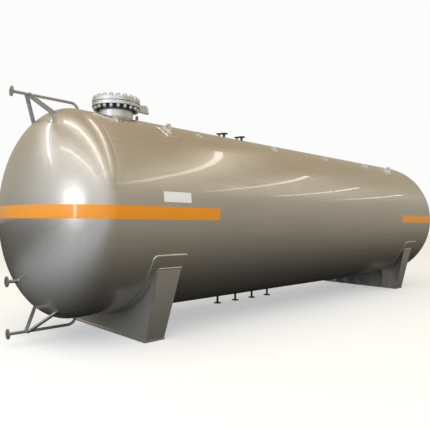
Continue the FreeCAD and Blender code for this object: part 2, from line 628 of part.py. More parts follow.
def foot_holes(name, middle, slotted):
    """The four foundation holes: round on the fixed saddle, slots along the vessel on the sliding one."""
    tools = []
    for i, sx in enumerate((-1, 1)):
        for j, sy in enumerate((-1, 1)):
            x = f"({middle} + {sx} * (Sizes.base_width / 2 - Sizes.foot_edge_x))"
            y = f"({sy} * (Sizes.base_length / 2 - Sizes.foot_edge_y))"
            tag = f"{name}_foot_hole_{i}{j}"
            if not slotted:
                tools.append(rod(tag, "Sizes.foot_hole / 2", "2 * Sizes.base_thickness", x, y,
                                 "-Sizes.base_thickness / 2"))
                continue
            half = "((Sizes.foot_slot - Sizes.foot_hole) / 2)"
            ends = [rod(f"{tag}_{k}", "Sizes.foot_hole / 2", "2 * Sizes.base_thickness",
                        f"{x} + {s} * {half}", y, "-Sizes.base_thickness / 2") for k, s in enumerate((-1, 1))]
            middle_box = part("Box", f"{tag}_box", {
                "Length": f"2 * {half}", "Width": "Sizes.foot_hole", "Height": "2 * Sizes.base_thickness",
            })
            place(middle_box, f"{x} - {half}", f"{y} - Sizes.foot_hole / 2", "-Sizes.base_thickness / 2")
            slot = doc.addObject("Part::MultiFuse", f"{tag}_slot")
            slot.Shapes = ends + [middle_box]
            tools.append(slot)
    return group(f"{name}_foot_holes", tools)


def trim_above(name, piece, middle):
    """Takes off what stands higher than the cradle's two heads."""
    form = part("Box", f"{name}_sky_form", {
        "Length": "Sizes.wear_width * 2", "Width": f"{WEAR} * 4", "Height": AXIS,
    })
    place(form, f"{middle} - Sizes.wear_width", f"-2 * {WEAR}", CRADLE_HEAD)
    return cut(f"{name}_trimmed", piece, form)


def end_rib(name, side, sign, web_face, facing, inward):
    """A rib that closes the saddle's end and leans outwards, flush with the web's outer face."""
    low, high = "-Sizes.base_thickness", AXIS
    body = new_body(f"{name}_end_rib_{side}")
    sketch = new_sketch(body, f"{name}_end_rib_{side}_outline", "XZ_Plane")
    draw_polygon(sketch, [
        ("0", low), (f"{RIB_FOOT} + Sizes.rib_splay * {low}", low),
        (f"{RIB_FOOT} + Sizes.rib_splay * {high}", high), ("0", high),
    ])
    pad = body.newObject("PartDesign::Pad", f"{name}_end_rib_{side}_plate")
    pad.Profile = sketch
    pad.Midplane = False
    pad.Reversed = sign * inward > 0
    pad.setExpression("Length", "Sizes.rib_thickness")
    lean = Rotation(Vector(1, 0, 0), -sign * evaluate(END_RIB_LEAN))
    return place(body, web_face, f"{sign} * {END_RIB_FOOT}", "Sizes.base_thickness", lean.multiply(facing))


def wear_plate(name, middle):
    """Plate rolled to the shell under the saddle, with rounded corners."""
    return rolled_plate(f"{name}_wear_plate", middle, "Sizes.wear_width", "Sizes.wear_thickness",
                        "Sizes.cradle_wrap + 2 * Sizes.wear_lap", "Sizes.wear_corner", 180)


def rolled_plate(name, middle, width, thickness, wrap, corner, angle):
    """A plate rolled to the shell's outside, its middle at an angle from the crown, corners rounded."""
    body = revolved(name, "XZ_Plane", [
        (f"-{width} / 2", SHELL), (f"{width} / 2", SHELL),
        (f"{width} / 2", f"{SHELL} + {thickness}"), (f"-{width} / 2", f"{SHELL} + {thickness}"),
    ], "H_Axis", wrap, midplane=True)
    place(body, middle, turn=Rotation(Vector(1, 0, 0), angle))
    doc.recompute()
    turned = body.Tip
    edges = [f"Edge{i}" for i, edge in enumerate(turned.Shape.Edges, start=1)
             if edge.Curve.TypeId == "Part::GeomLine" and abs(edge.Length - evaluate(thickness)) < 1e-3]
    rounding = body.newObject("PartDesign::Fillet", f"{name}_corners")
    rounding.Base = (turned, edges)
    rounding.setExpression("Radius", corner)
    return body


saddle("near", "0", 1, slotted=False)
saddle("far", SPAN, -1, slotted=True)


# ---- gauge pipes, their flanges and stays ----

GAUGE_HEIGHT = f"({SHELL} + Sizes.gauge_rise)"
GAUGE_REACH = f"({HEAD_TIP} + Sizes.gauge_overhang)"


def gauge(level, sign):
    """A pipe that leaves the shell, bends and runs out past the near head; sign is 1 above the axis."""
    name = f"{level.capitalize()}_gauge"
    height = f"{sign} * {GAUGE_HEIGHT}"
    body = new_body(f"{name}_run")
    path = new_sketch(body, f"{name}_route", "XZ_Plane")
    draw_route(path, sign, height)
    section = new_sketch(body, f"{name}_section", "YZ_Plane")
    section.setExpression("AttachmentOffset.Base.z", f"-{GAUGE_REACH} + Sizes.gauge_setback")
    draw_circle(section, "0", height, "Sizes.drain_pipe")
    draw_circle(section, "0", height, "Sizes.drain_pipe - Sizes.drain_wall")
    doc.recompute()
    run = body.newObject("PartDesign::AdditivePipe", f"{name}_tube")
    run.Profile = section
    run.Spine = (path, ["Edge1", "Edge2", "Edge3"])
    place(body, along("0"))
    node(cut(f"{name}_pipe", body, inside), f"{level}_gauge_pipe")

    flange = revolved(f"{name}_flange", "XZ_Plane", [
        ("Sizes.drain_pipe", "0"), ("Sizes.drain_face", "0"), ("Sizes.drain_face", "-Sizes.face_height"),
        ("Sizes.drain_flange", "-Sizes.face_height"), ("Sizes.drain_flange", "-Sizes.drain_depth"),
        ("Sizes.drain_pipe", "-Sizes.drain_depth"),
    ], "V_Axis")
    bolt_holes(flange, "Sizes.drain_circle", "Sizes.drain_hole", "4", "Sizes.drain_depth")
    place(flange, along(f"0 - {GAUGE_REACH}"), z=f"{AXIS} + {height}", turn=AGAINST_X)
    node(flange, f"{level}_gauge_flange")

    pipe_form = rod(f"{name}_pipe_form", "Sizes.drain_pipe", GAUGE_REACH, along(f"0 - {GAUGE_REACH}"),
                    z=f"{AXIS} + {height}", turn=ALONG_X)
    blanks = group(f"{name}_stay_blanks", [stay(level, sign, "front", -1), stay(level, sign, "back", 1)])
    clear = cut(f"{name}_stays_on_head", blanks, near_outside)
    node(cut(f"{name}_stays", clear, pipe_form), f"{level}_gauge_stays")


def draw_route(path, sign, height):
    """Centre line of a gauge pipe from its open end, round the bend and down into the shell."""
    open_end = f"-{GAUGE_REACH} + Sizes.gauge_setback"
    bury = f"{sign} * (Sizes.bore_radius - Sizes.overrun)"
    foot, bend, level = size("gauge_foot"), size("gauge_bend"), evaluate(height)
    start = Vector(evaluate(open_end), level, 0)
    corner = Vector(foot - bend, level, 0)
    centre = corner - Vector(0, sign * bend, 0)
    landing = centre + Vector(bend, 0, 0)
    halfway = centre + Vector(math.sqrt(0.5) * bend, sign * math.sqrt(0.5) * bend, 0)
    path.addGeometry(Part.LineSegment(start, corner), False)
    path.addGeometry(Part.Arc(corner, halfway, landing), False)
    path.addGeometry(Part.LineSegment(landing, Vector(foot, evaluate(bury), 0)), False)
    bend_start, bend_end = (END, START) if sign > 0 else (START, END)
    path.addConstraint(Sketcher.Constraint("Tangent", 0, END, 1, bend_start))
    path.addConstraint(Sketcher.Constraint("Tangent", 2, START, 1, bend_end))
    path.addConstraint(Sketcher.Constraint("Horizontal", 0))
    path.addConstraint(Sketcher.Constraint("Vertical", 2))
    hold_radius(path, 1, "Sizes.gauge_bend")
    hold_point(path, 0, START, open_end, height)
    hold_point(path, 2, END, "Sizes.gauge_foot", bury)


def stay(level, sign, side, hand):
    """Angle-section brace from the side of a gauge pipe back to the head; hand is -1 in front."""
    foot_x, foot_y = -size(f"{level}_{side}_foot"), hand * size(f"{level}_{side}_side")
    head_radius, head_tip = evaluate(SHELL), evaluate(HEAD_TIP)
    foot_z = sign * math.sqrt(head_radius ** 2 * (1 - (foot_x / head_tip) ** 2) - foot_y ** 2)
    start = Vector(-size(f"{level}_joint"), hand * size("drain_pipe"), sign * evaluate(GAUGE_HEIGHT))
    reach = Vector(foot_x, foot_y, foot_z) - start
    direction = Vector(reach).normalize()
    across = direction.cross(Vector(1, 0, 0)).normalize()
    upright = direction.cross(across)
    half, inner = "Sizes.stay_leg / 2", "(Sizes.stay_leg / 2 - Sizes.stay_section)"
    body = padded(f"{level.capitalize()}_{side}_stay", "XY_Plane", [
        (f"-{half}", f"-{half}"), (half, f"-{half}"), (half, f"-{inner}"),
        (f"-{inner}", f"-{inner}"), (f"-{inner}", half), (f"-{half}", half),
    ], f"{reach.Length} + Sizes.overrun", midplane=False)
    axes = FreeCAD.Matrix(across.x, upright.x, direction.x, 0, across.y, upright.y, direction.y, 0,
                          across.z, upright.z, direction.z, 0, 0, 0, 0, 1)
    return place(body, along(start.x), f"{start.y}", f"{AXIS} + {start.z}", Placement(axes).Rotation)


gauge("upper", 1)
gauge("lower", -1)


# ---- lifting lugs and platform cleats ----

def lug_plate(name):
    """A plate that narrows from its foot to a round head with an eye."""
    body = new_body(name)
    sketch = new_sketch(body, f"{name}_outline", "YZ_Plane")
    half, eye_height, radius = size("lug_foot") / 2, size("lug_eye_height"), size("lug_head")
    low = evaluate(SHELL)
    slope = math.atan2(eye_height, half) + math.asin(radius / math.hypot(half, eye_height))
    eye = Vector(0, low + eye_height, 0)
    touch = eye + Vector(radius * math.sin(slope), radius * math.cos(slope), 0)
    left, right, mirror = Vector(-half, low, 0), Vector(half, low, 0), Vector(-touch.x, touch.y, 0)
    sketch.addGeometry(Part.LineSegment(left, right), False)
    sketch.addGeometry(Part.LineSegment(right, touch), False)
    sketch.addGeometry(Part.Arc(touch, eye + Vector(0, radius, 0), mirror), False)
    sketch.addGeometry(Part.LineSegment(mirror, left), False)
    sketch.addConstraint(Sketcher.Constraint("Coincident", 0, END, 1, START))
    sketch.addConstraint(Sketcher.Constraint("Coincident", 3, END, 0, START))
    sketch.addConstraint(Sketcher.Constraint("Tangent", 1, END, 2, START))
    sketch.addConstraint(Sketcher.Constraint("Tangent", 3, START, 2, END))
    hold_point(sketch, 0, START, "-Sizes.lug_foot / 2", SHELL)
    hold_point(sketch, 1, START, "Sizes.lug_foot / 2", SHELL)
    hold_point(sketch, 2, MIDDLE, "0", f"{SHELL} + Sizes.lug_eye_height")
    hold_radius(sketch, 2, "Sizes.lug_head")
    draw_circle(sketch, "0", f"{SHELL} + Sizes.lug_eye_height", "Sizes.lug_eye / 2")
    pad = body.newObject("PartDesign::Pad", f"{name}_thick")
    pad.Profile = sketch
    pad.Midplane = True
    pad.setExpression("Length", "Sizes.lug_thickness")
    return body


def lug(name, x, side):
    """Lifting lug: a plate with an eye that stands across the vessel on its own pad."""
    angle = -side * size("lug_angle")
    body = place(lug_plate(f"{name}_plate"), x, turn=Rotation(Vector(1, 0, 0), angle))
    form = rod(f"{name}_pad_form", f"{SHELL} + Sizes.lug_pad_thickness", "Sizes.lug_pad_width",
               f"{x} - Sizes.lug_pad_width / 2", turn=ALONG_X)
    pad = rolled_plate(f"{name}_pad", x, "Sizes.lug_pad_width", "Sizes.lug_pad_thickness",
                       "Sizes.lug_pad_wrap", "Sizes.lug_pad_corner", angle)
    return cut(f"{name}_fitted", body, form), pad


for end, at in (("near", "Sizes.near_lug_at"), ("far", "(Sizes.tangent_length - Sizes.far_lug_at)")):
    pairs = [lug(f"{end.capitalize()}_lug_{tag}", along(at), side)
             for tag, side in (("front", -1), ("back", 1))]
    node(group(f"{end.capitalize()}_lifting_lugs", [pair[0] for pair in pairs]), f"{end}_lifting_lugs")
    node(group(f"{end.capitalize()}_lug_pads", [pair[1] for pair in pairs]), f"{end}_lug_pads")


def cleat(number, side):
    """A small plate square to the shell that carries a bracket of the top platform."""
    plate = part("Box", f"Cleat_{number}_{'front' if side < 0 else 'back'}", {
        "Length": "Sizes.cleat_thickness", "Width": "Sizes.cleat_length",
        "Height": "Sizes.cleat_height + Sizes.overrun",
    })
    foot, half, angle = f"({SHELL} - Sizes.overrun)", "(Sizes.cleat_length / 2)", "Sizes.cleat_angle"
    y = f"{side} * {foot} * sin({angle}) - {half} * cos({angle})"
    z = f"{AXIS} + {foot} * cos({angle}) + {side} * {half} * sin({angle})"
    return place(plate, along(f"Sizes.cleat_{number}"), y, z,
                 Rotation(Vector(1, 0, 0), -side * size("cleat_angle")))


blanks = [cleat(number, side) for number in range(1, 6) for side in (-1, 1)]
node(cut("Platform_cleats", group("Cleat_blanks", blanks), outside), "platform_cleats")


# ---- check and write ----

doc.recompute()
for item in doc.Objects:
    if "Invalid" in item.State or "Error" in item.State:
        raise RuntimeError(f"{item.Name} failed: {item.State}")
for item in NODES:
    if item.Shape.isNull() or not item.Shape.isValid() or not item.Shape.Solids:
        raise RuntimeError(f"{item.Label} has no valid shape")
os.makedirs("parts", exist_ok=True)
for item in NODES:
    item.Shape.exportStep(f"parts/{item.Label}.step")
    print(f"{item.Label}: {len(item.Shape.Solids)} solids, {item.Shape.Volume / 1e6:.3f} dm3")
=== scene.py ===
"""Looks of the horizontal pressure tank: glossy silver paint with its orange stripe, the welds that join
the plates, and the manhole's studs and nuts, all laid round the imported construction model."""

import math

import bpy
import numpy as np
from mathutils import Matrix, Vector


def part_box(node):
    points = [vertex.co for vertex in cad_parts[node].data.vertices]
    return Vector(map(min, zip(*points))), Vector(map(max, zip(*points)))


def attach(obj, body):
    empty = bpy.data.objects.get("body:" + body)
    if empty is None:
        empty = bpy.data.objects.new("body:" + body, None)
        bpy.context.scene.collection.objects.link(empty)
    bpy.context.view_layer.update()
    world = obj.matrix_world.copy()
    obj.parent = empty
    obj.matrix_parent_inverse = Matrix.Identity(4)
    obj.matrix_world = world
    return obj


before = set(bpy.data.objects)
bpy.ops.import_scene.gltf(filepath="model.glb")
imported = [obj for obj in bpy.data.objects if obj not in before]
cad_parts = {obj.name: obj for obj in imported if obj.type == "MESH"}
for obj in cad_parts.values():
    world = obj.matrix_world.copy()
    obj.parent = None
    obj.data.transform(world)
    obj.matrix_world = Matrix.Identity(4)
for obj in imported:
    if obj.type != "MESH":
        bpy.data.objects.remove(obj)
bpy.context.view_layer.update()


# ---- Camera ----
# The viewer stands off the near head, a little below the vessel's axis, and looks along the front side,
# so that the near head, the whole front and the far saddle all show.

camera_place = Vector((-3.908, -6.345, 1.7065))
camera_turn = math.radians(43.93)     # from square-on towards the far head
camera_rise = math.radians(0.90)
camera_roll = math.radians(0.46)
focal_length, sensor_width = 38.03, 36.0

forward = Vector((math.sin(camera_turn) * math.cos(camera_rise),
                  math.cos(camera_turn) * math.cos(camera_rise),
                  math.sin(camera_rise)))
level = Vector((math.cos(camera_turn), -math.sin(camera_turn), 0))
upright = level.cross(forward)
right = math.cos(camera_roll) * level + math.sin(camera_roll) * upright
above = math.cos(camera_roll) * upright - math.sin(camera_roll) * level
lens = bpy.data.cameras.new("viewer")
lens.lens, lens.sensor_width = focal_length, sensor_width
lens.clip_end = 200
viewer = bpy.data.objects.new("viewer", lens)
facing = Matrix((right, above, -forward)).transposed().to_4x4()
viewer.matrix_world = Matrix.Translation(camera_place) @ facing
bpy.context.scene.collection.objects.link(viewer)
bpy.context.scene.camera = viewer
bpy.context.scene.view_settings.view_transform = "Standard"


# ---- Studio: floor, sky and lamps ----
# A plain pale floor under a soft sky that is warm over the front and cool and bright off the near head.
# Seven long roof lamps hang across the vessel and one along it behind; a window and a door light the head.

def shader(tree, kind, inputs=(), **settings):
    """Adds one node. Settings are its own properties; inputs are (socket, number, colour or socket)."""
    made = tree.nodes.new(kind)
    for name, value in settings.items():
        setattr(made, name, value)
    for socket, value in dict(inputs).items():
        if isinstance(value, bpy.types.NodeSocket):
            tree.links.new(value, made.inputs[socket])
        else:
            made.inputs[socket].default_value = value
    return made


def math_of(tree, operation, first, second=0.0, clamp=False):
    """One sum on two numbers or sockets."""
    return shader(tree, "ShaderNodeMath", {0: first, 1: second},
                  operation=operation, use_clamp=clamp).outputs[0]


def blend_of(tree, share, first, second, blend="MIX"):
    """A colour between two others, by a share from 0 to 1."""
    made = shader(tree, "ShaderNodeMix", data_type="RGBA", blend_type=blend)
    for socket, value in ((0, share), (6, first), (7, second)):
        if isinstance(value, bpy.types.NodeSocket):
            tree.links.new(value, made.inputs[socket])
        else:
            made.inputs[socket].default_value = value
    return made.outputs[2]


def place_parts(tree):
    """The x, y and z of a point, in Object coordinates."""
    place = shader(tree, "ShaderNodeTexCoord").outputs["Object"]
    return shader(tree, "ShaderNodeSeparateXYZ", {0: place}).outputs


def ramp_of(tree, share, stops):
    """Colour read off a row of stops (place from 0 to 1, colour), straight between them."""
    ramp = shader(tree, "ShaderNodeValToRGB", {0: share})
    for i, (at, colour) in enumerate(stops):
        stop = ramp.color_ramp.elements[i] if i < 2 else ramp.color_ramp.elements.new(at)
        stop.position = at
        stop.color = (*colour, 1)
    return ramp.outputs[0]


def sky_ramp(tree, height, stops):
    """Colour by elevation, from stops of (degrees, colour): the sine of the elevation, halved and raised by
    a half, is the place on the ramp."""
    share = shader(tree, "ShaderNodeMath", {0: height, 1: 0.5, 2: 0.5}, operation="MULTIPLY_ADD").outputs[0]
    return ramp_of(tree, share, [(0.5 + 0.5 * math.sin(math.radians(elevation)), colour)
                                 for elevation, colour in stops])


def sky():
    """World light: a warm and a cool ramp by elevation, mixed by how far a direction leans towards the side
    off the near head. What is seen straight on is an even pale backdrop."""
    world = bpy.data.worlds.new("sky")
    bpy.context.scene.world = world
    world.use_nodes = True
    tree = world.node_tree
    tree.nodes.clear()
    direction = shader(tree, "ShaderNodeTexCoord").outputs["Generated"]
    parts = shader(tree, "ShaderNodeSeparateXYZ", {0: direction}).outputs
    warm = sky_ramp(tree, parts[2], [
        (-5, (0.33, 0.30, 0.235)), (9, (0.44, 0.40, 0.32)), (20, (0.47, 0.42, 0.32)),
        (31, (0.48, 0.385, 0.245)), (50, (0.48, 0.36, 0.21)), (90, (0.44, 0.325, 0.19)),
    ])
    cool = sky_ramp(tree, parts[2], [
        (-5, (0.72, 0.74, 0.76)), (8, (0.95, 0.97, 1.0)), (25, (1.0, 1.0, 0.97)),
        (50, (0.88, 0.85, 0.77)), (90, (0.62, 0.57, 0.48)),
    ])
    cool_side = (-0.90, -0.43, 0)
    lean = shader(tree, "ShaderNodeVectorMath", {0: direction, 1: cool_side}, operation="DOT_PRODUCT")
    share = shader(tree, "ShaderNodeMapRange", {0: lean.outputs["Value"], 1: -0.1, 2: 0.9},
                   interpolation_type="SMOOTHSTEP").outputs[0]
    around = blend_of(tree, share, warm, cool)
    seen = shader(tree, "ShaderNodeLightPath").outputs["Is Camera Ray"]
    light = shader(tree, "ShaderNodeBackground", {0: around, 1: 1.0}).outputs[0]
    backdrop = shader(tree, "ShaderNodeBackground", {0: (0.97, 0.97, 0.965, 1), 1: 1.0}).outputs[0]
    mix = shader(tree, "ShaderNodeMixShader", {0: seen, 1: light, 2: backdrop}).outputs[0]
    shader(tree, "ShaderNodeOutputWorld", {0: mix})


sky()

floor_half, floor_height = 70.0, -0.0005
floor_corners = [(x * floor_half, y * floor_half, floor_height)
                 for x, y in ((-1, -1), (1, -1), (1, 1), (-1, 1))]
floor_mesh = bpy.data.meshes.new("floor")
floor_mesh.from_pydata(floor_corners, [], [(0, 1, 2, 3)])
studio_floor = bpy.data.objects.new("floor", floor_mesh)
bpy.context.scene.collection.objects.link(studio_floor)


def pale_floor():
    """Pale where it is looked at. What it throws back on the vessel is a glow that is dark underneath,
    rises with the distance in front, is dimmed behind, and is brightest and coolest off the near head."""
    made = bpy.data.materials.new("pale_floor")
    made.use_nodes = True
    tree = made.node_tree
    paint = tree.nodes["Principled BSDF"]
    paint.inputs["Base Color"].default_value = (0.80, 0.83, 0.86, 1)
    paint.inputs["Roughness"].default_value = 0.9
    paint.inputs["Emission Color"].default_value = (0.95, 0.97, 1.0, 1)
    paint.inputs["Emission Strength"].default_value = 0.42
    parts = place_parts(tree)
    widest = 10.0
    aside = math_of(tree, "DIVIDE", math_of(tree, "ABSOLUTE", parts[1]), widest)
    glow = ramp_of(tree, aside, [(metres / widest, colour) for metres, colour in (
        (0.0, (0.010, 0.010, 0.010)), (1.1, (0.028, 0.026, 0.022)), (1.9, (0.085, 0.076, 0.060)),
        (2.5, (0.145, 0.130, 0.100)), (3.6, (0.205, 0.185, 0.145)), (6.0, (0.28, 0.255, 0.20)),
        (10.0, (0.34, 0.31, 0.245)))])
    off_head = shader(tree, "ShaderNodeMapRange", {0: parts[0], 1: -0.9, 2: -4.0},
                      interpolation_type="SMOOTHSTEP").outputs[0]
    fade = shader(tree, "ShaderNodeMapRange", {0: parts[1], 1: 6.0, 2: -1.5},
                  interpolation_type="SMOOTHSTEP").outputs[0]
    behind = shader(tree, "ShaderNodeMapRange", {0: parts[1], 1: 0.8, 2: 4.0, 4: 0.9}).outputs[0]
    dimmed = blend_of(tree, behind, glow, (0.01, 0.01, 0.01, 1))
    cool = blend_of(tree, math_of(tree, "MULTIPLY", off_head, fade), dimmed, (0.56, 0.60, 0.64, 1))
    thrown = shader(tree, "ShaderNodeEmission", {0: cool, 1: 1.0}).outputs[0]
    seen = shader(tree, "ShaderNodeLightPath").outputs["Is Camera Ray"]
    mix = shader(tree, "ShaderNodeMixShader", {0: seen, 1: thrown, 2: paint.outputs[0]}).outputs[0]
    tree.links.new(mix, tree.nodes["Material Output"].inputs[0])
    return made


floor_mesh.materials.append(pale_floor())


def lamp(name, place, along, across, towards, radiance, colour=(1.0, 0.96, 0.88)):
    """A flat rectangular lamp; its power is radiance times pi times its area."""
    light = bpy.data.lights.new(name, "AREA")
    light.shape = "RECTANGLE"
    light.size, light.size_y = across, along
    light.energy = radiance * math.pi * along * across
    light.color = colour
    made = bpy.data.objects.new(name, light)
    made.location = place
    made.rotation_mode = "QUATERNION"
    made.rotation_quaternion = Vector(towards).to_track_quat("-Z", "Y")
    bpy.context.scene.collection.objects.link(made)


roof_height, roof_lamp_width = 9.0, 0.4
down, daylight, doorlight = (0, 0, -1), (0.97, 0.98, 1.0), (1.0, 1.0, 0.98)
roof_lamps = [    # place along the vessel, front end, back end, radiance
    (-8.2, -11.0, 3.0, 7.0), (-3.0, -12.5, 3.5, 7.0), (1.0, -9.0, 2.0, 5.0), (7.1, -12.5, -0.4, 5.0),
    (13.0, -13.0, -3.4, 5.5), (18.8, -13.0, -5.0, 6.0), (25.4, -12.5, -6.0, 6.0),
]
for number, (x, front, back, radiance) in enumerate(roof_lamps, start=1):
    place = (x, (front + back) / 2, roof_height)
    lamp(f"roof_lamp_{number}", place, back - front, roof_lamp_width, down, radiance)
lamp("back_lamp", (-8.0, 6.4, roof_height), 0.5, 11.0, down, 9.0, daylight)
lamp("window", (-13.2, -2.4, 4.15), 1.6, 5.6, (1.0, 0.1, -0.18), 6.0, daylight)
lamp("door", (-13.2, -2.6, 2.2), 2.0, 1.0, (1.0, 0.1, -0.02), 9.0, doorlight)


# ---- Shell courses and heads ----
# Rolled steel plate and two pressed heads, sprayed with one glossy warm silver coat. An orange stripe is
# masked and sprayed over it at the axis: round each head and a short way along the front and the back.

def new_group(name, inputs, outputs):
    """A shader node group with its sockets named; returns its tree, its inputs and its output node."""
    tree = bpy.data.node_groups.new(name, "ShaderNodeTree")
    for socket, kind, value in inputs:
        made = tree.interface.new_socket(name=socket, in_out="INPUT", socket_type=f"NodeSocket{kind}")
        made.default_value = value
    for socket, kind in outputs:
        tree.interface.new_socket(name=socket, in_out="OUTPUT", socket_type=f"NodeSocket{kind}")
    return tree, tree.nodes.new("NodeGroupInput").outputs, tree.nodes.new("NodeGroupOutput").inputs


def sprayed_finish():
    """Spray paint. The colour is multiplied by 1 plus slow cloud, passes of the gun along the vessel and
    fine flake; dust lies on what faces up, and painted shade, near black, on what faces down. The height
    is orange peel plus waves of the plate that are longer along the vessel than round it."""
    tree, given, result = new_group(
        "sprayed_finish",
        [("Colour", "Color", (0.5, 0.5, 0.5, 1)), ("Roughness", "Float", 0.35), ("Cloud", "Float", 0.06),
         ("Flake", "Float", 0.05), ("Passes", "Float", 0.0), ("Dust", "Float", 0.1),
         ("Shelter", "Float", 0.0), ("Peel", "Float", 0.2), ("Waves", "Float", 0.5)],
        [("Colour", "Color"), ("Roughness", "Float"), ("Unshaded", "Float"), ("Height", "Float")])
    # Dust is a warm tan; the painted shade on what faces down is near black.
    dust_colour, painted_shade_colour = (0.42, 0.37, 0.30, 1), (0.012, 0.012, 0.012, 1)
    place = shader(tree, "ShaderNodeTexCoord").outputs["Object"]

    def noise(scale, detail, at=place):
        """Even noise from 0 to 1."""
        return shader(tree, "ShaderNodeTexNoise",
                      {"Vector": at, "Scale": scale, "Detail": detail}).outputs[0]

    def drawn_out(along, round_it):
        """Places scaled so that a pattern is longer along the vessel than round it."""
        scale = (along, round_it, round_it)
        return shader(tree, "ShaderNodeMapping", {"Vector": place, "Scale": scale}).outputs[0]

    def either_side(pattern, amount):
        """A pattern moved to lie either side of nothing, times its amount."""
        return math_of(tree, "MULTIPLY", math_of(tree, "SUBTRACT", pattern, 0.5), amount)

    cloud = either_side(noise(0.9, 4), given["Cloud"])
    flake = either_side(noise(420, 1), given["Flake"])
    passes = either_side(noise(5.0, 3.0, drawn_out(0.12, 3.0)), given["Passes"])
    shade = math_of(tree, "ADD", math_of(tree, "ADD", math_of(tree, "ADD", cloud, passes), flake), 1.0)
    grey = shader(tree, "ShaderNodeCombineXYZ", {0: shade, 1: shade, 2: shade}).outputs[0]
    tinted = shader(tree, "ShaderNodeVectorMath", {0: given["Colour"], 1: grey},
                    operation="MULTIPLY").outputs[0]
    normal = shader(tree, "ShaderNodeNewGeometry").outputs["Normal"]
    rise = shader(tree, "ShaderNodeSeparateXYZ", {0: normal}).outputs[2]
    facing_up = shader(tree, "ShaderNodeMapRange", {0: rise, 1: 0.5, 2: 1.0}).outputs[0]
    facing_down = shader(tree, "ShaderNodeMapRange", {0: rise, 1: -0.3, 2: -0.9}).outputs[0]
    specks = shader(tree, "ShaderNodeMapRange", {0: noise(6, 8), 1: 0.35, 2: 0.75}).outputs[0]
    settled = math_of(tree, "MULTIPLY", facing_up, specks)
    dust = math_of(tree, "MULTIPLY", settled, given["Dust"], clamp=True)
    dusted = blend_of(tree, dust, tinted, dust_colour)
    # Painted shade: what faces down is blended towards near black.
    painted_shade = math_of(tree, "MULTIPLY", facing_down, given["Shelter"])
    tree.links.new(blend_of(tree, painted_shade, dusted, painted_shade_colour), result["Colour"])
    tree.links.new(math_of(tree, "SUBTRACT", 1.0, painted_shade), result["Unshaded"])
    patchy = either_side(noise(3.5, 6), 0.10)
    rough = math_of(tree, "ADD", math_of(tree, "ADD", given["Roughness"], patchy),
                    math_of(tree, "MULTIPLY", math_of(tree, "ADD", dust, painted_shade), 0.5), clamp=True)
    tree.links.new(rough, result["Roughness"])
    peel = math_of(tree, "MULTIPLY", noise(120, 2), given["Peel"])
    waves = math_of(tree, "MULTIPLY", noise(2.2, 2.0, drawn_out(0.45, 1.6)), given["Waves"])
    tree.links.new(math_of(tree, "ADD", peel, waves), result["Height"])
    return tree


def painted_band():
    """Mask of the stripe: 1 within half a width of its centre and beyond either end, from Object places."""
    tree, given, result = new_group(
        "painted_band",
        [("Centre", "Float", 0.0), ("Half width", "Float", 0.1), ("Near end", "Float", 0.0),
         ("Far end", "Float", 1.0)],
        [("Mask", "Float")])
    parts = place_parts(tree)
    off = math_of(tree, "ABSOLUTE", math_of(tree, "SUBTRACT", parts[2], given["Centre"]))
    within = math_of(tree, "LESS_THAN", off, given["Half width"])
    ends = math_of(tree, "ADD", math_of(tree, "LESS_THAN", parts[0], given["Near end"]),
                   math_of(tree, "GREATER_THAN", parts[0], given["Far end"]), clamp=True)
    tree.links.new(math_of(tree, "MULTIPLY", within, ends), result["Mask"])
    return tree


def drawn_seams(seams):
    """The plate is drawn in where a ring seam shrank: minus the sum of one bell curve at each seam, each
    falling as e to the minus square of the distance over the width."""
    tree, given, result = new_group("drawn_seams", [("Width", "Float", 0.06), ("Depth", "Float", 1.0)],
                                    [("Height", "Float")])
    run = place_parts(tree)[0]
    total = 0.0
    for seam in seams:
        off = math_of(tree, "DIVIDE", math_of(tree, "SUBTRACT", run, seam), given["Width"])
        square = math_of(tree, "MULTIPLY", off, off)
        bell = math_of(tree, "EXPONENT", math_of(tree, "MULTIPLY", square, -1.0))
        total = math_of(tree, "ADD", bell, total)
    depth = math_of(tree, "MULTIPLY", given["Depth"], -1.0)
    tree.links.new(math_of(tree, "MULTIPLY", total, depth), result["Height"])
    return tree


seam_places = [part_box("near_head")[1].x] + [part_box(f"shell_course_{i}")[1].x for i in range(1, 5)]
finish_group, band_group, draw_group = sprayed_finish(), painted_band(), drawn_seams(seam_places)
silver = (0.60, 0.58, 0.545, 1)
orange, orange_glow = (0.93, 0.33, 0.001, 1), 0.14

course_low, course_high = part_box("shell_course_2")
shell_radius = (course_high.y - course_low.y) / 2
axis_height = (course_high.z + course_low.z) / 2
head_skirt = 0.060
near_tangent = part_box("near_head")[1].x - head_skirt
head_tip = near_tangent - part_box("near_head")[0].x
band_centre, band_half = axis_height + 0.003, 0.087
band_near_end, band_far_end = near_tangent + 1.733, near_tangent + 7.994


